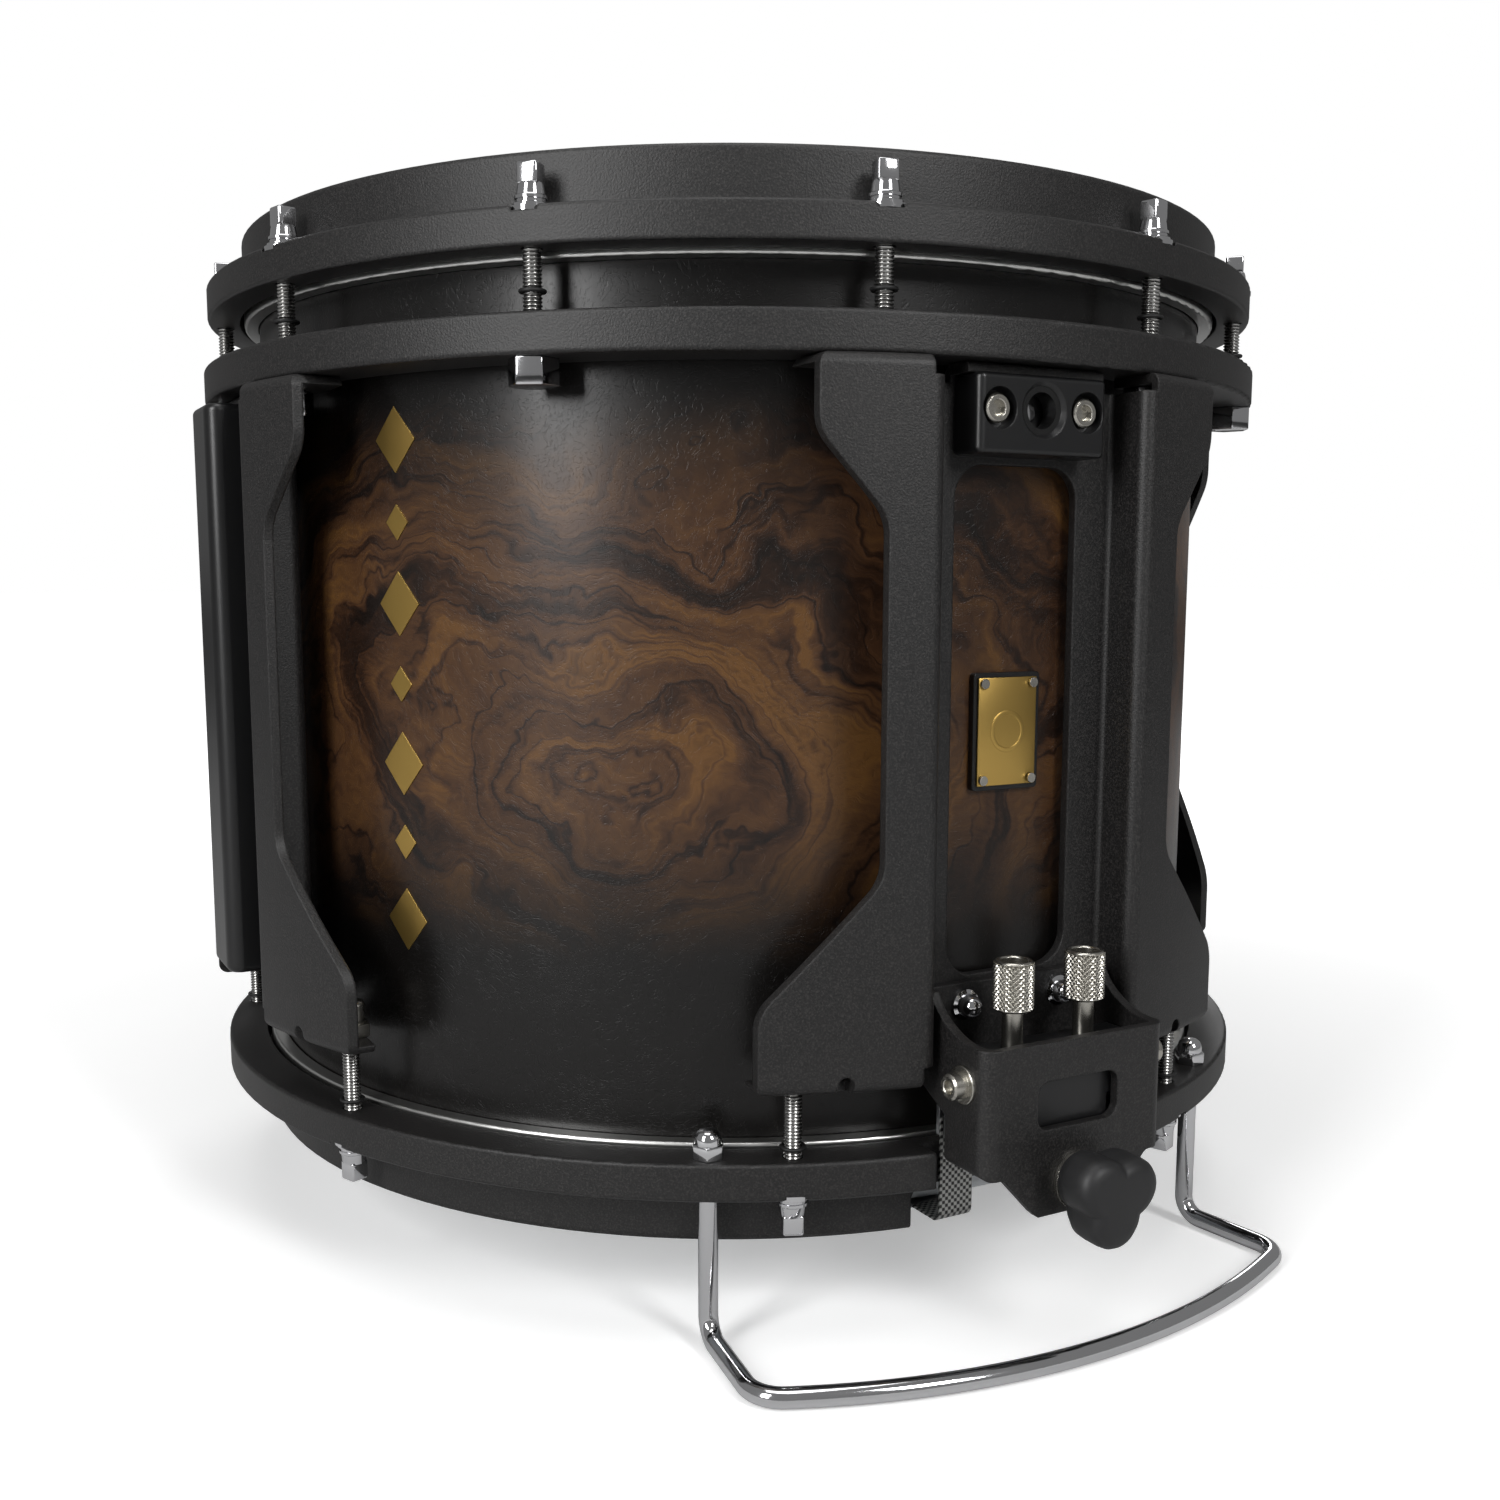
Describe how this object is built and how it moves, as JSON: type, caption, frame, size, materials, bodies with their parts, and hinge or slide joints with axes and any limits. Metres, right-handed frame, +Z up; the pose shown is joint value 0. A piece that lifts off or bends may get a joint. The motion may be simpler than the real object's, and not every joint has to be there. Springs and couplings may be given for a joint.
{
  "type": "snare drum",
  "caption": "Marching snare drum: veneered shell floating in a black metal chassis, with a knob-worked snare release and a leg rest.",
  "frame": {"origin": "centre of the batter head's playing surface, on the drum's axis", "axes": "+Z up along the drum's axis out of the batter head; -Y faces the snare release and the leg rest; +X to the right seen from the front"},
  "size_m": [0.4062, 0.4426, 0.3475],
  "materials": {
    "powder_black": "fine textured black powder coat",
    "satin_black": "smooth satin black",
    "walnut": "figured veneer under satin lacquer, fading to black at both ends",
    "chrome": "polished",
    "stainless": "brushed",
    "plated_steel": "satin plated",
    "black_bush": "matte",
    "rubber": "matte",
    "satin_aluminium": "satin",
    "woven_head": "woven aramid laminate",
    "clear_film": "hazy polyester film",
    "gold": "satin gold",
    "black_knob": "matte moulded",
    "strap": "woven steel mesh"
  },
  "bodies": {
    "drum": {"badge_backing": "satin_black", "badge_plate": "gold", "badge_screws": "stainless", "batter_flesh_hoop": "satin_aluminium", "batter_head": "woven_head", "batter_hoop": "powder_black", "bottom_nuts": "stainless", "bottom_tension_rods": "chrome", "butt_block": "plated_steel", "butt_bracket": "powder_black", "butt_screws": "stainless", "carrier_block": "satin_black", "carrier_bush": "black_bush", "carrier_button": "chrome", "carrier_screws": "stainless", "cover_screws": "stainless", "inner_snare_brackets": "plated_steel", "inner_snares": "plated_steel", "leg_rest": "chrome", "leg_rest_nuts": "chrome", "recess_cover_left": "satin_black", "recess_cover_right": "satin_black", "rod_o_rings": "rubber", "rod_washers": "chrome", "shell": "walnut", "shell_inlay": "gold", "side_bolts": "stainless", "snare_flesh_hoop": "satin_aluminium", "snare_head": "clear_film", "snare_hoop": "powder_black", "strainer_bracket": "powder_black", "strainer_screws": "stainless", "top_nuts": "chrome", "top_ring": "powder_black", "top_tension_rods": "chrome", "upright_front": "powder_black", "upright_left": "powder_black", "upright_rear": "powder_black", "upright_right": "powder_black"},
    "snare_carriage": {"snare_carriage": "satin_black"},
    "adjuster_left": {"adjuster_left": "stainless"},
    "adjuster_right": {"adjuster_right": "stainless"},
    "traveller_left": {"traveller_left": "plated_steel"},
    "traveller_right": {"traveller_right": "plated_steel"},
    "release_knob": {"release_knob": "black_knob", "release_spindle": "plated_steel", "knob_washer": "stainless"},
    "snares": {"snare_wires": "plated_steel", "snare_end_plates": "plated_steel", "snare_straps": "strap"}
  },
  "joints": [
    {"name": "release_turn", "type": "hinge", "parent": "drum", "child": "release_knob", "pos_m": [0, -0.2174, -0.2889], "axis": [0, -1, 0], "range_deg": [0, 180]},
    {"name": "carriage_drop", "type": "slide", "parent": "drum", "child": "snare_carriage", "axis": [0, 0, -1], "range_m": [0, 0.004]},
    {"name": "snare_drop", "type": "hinge", "parent": "drum", "child": "snares", "pos_m": [0, 0.19, -0.3068], "axis": [1, 0, 0], "range_deg": [0, 0.6]},
    {"name": "adjuster_left_turn", "type": "hinge", "parent": "snare_carriage", "child": "adjuster_left", "pos_m": [-0.0135, -0.203, -0.2509], "axis": [0, 0, 1], "range_deg": [-360, 360]},
    {"name": "adjuster_right_turn", "type": "hinge", "parent": "snare_carriage", "child": "adjuster_right", "pos_m": [0.0135, -0.203, -0.2509], "axis": [0, 0, 1], "range_deg": [-360, 360]},
    {"name": "traveller_left_slide", "type": "slide", "parent": "snare_carriage", "child": "traveller_left", "axis": [0, 0, 1], "range_m": [-0.001, 0.001]},
    {"name": "traveller_right_slide", "type": "slide", "parent": "snare_carriage", "child": "traveller_right", "axis": [0, 0, 1], "range_m": [-0.001, 0.001]}
  ],
  "couplings": [
    {"joint": "release_turn", "follows": "carriage_drop", "rad_per_m": 785.4},
    {"joint": "snare_drop", "follows": "carriage_drop", "rad_per_m": 2.6179},
    {"joint": "adjuster_left_turn", "follows": "traveller_left_slide", "rad_per_m": 6283.2},
    {"joint": "adjuster_right_turn", "follows": "traveller_right_slide", "rad_per_m": 6283.2}
  ]
}
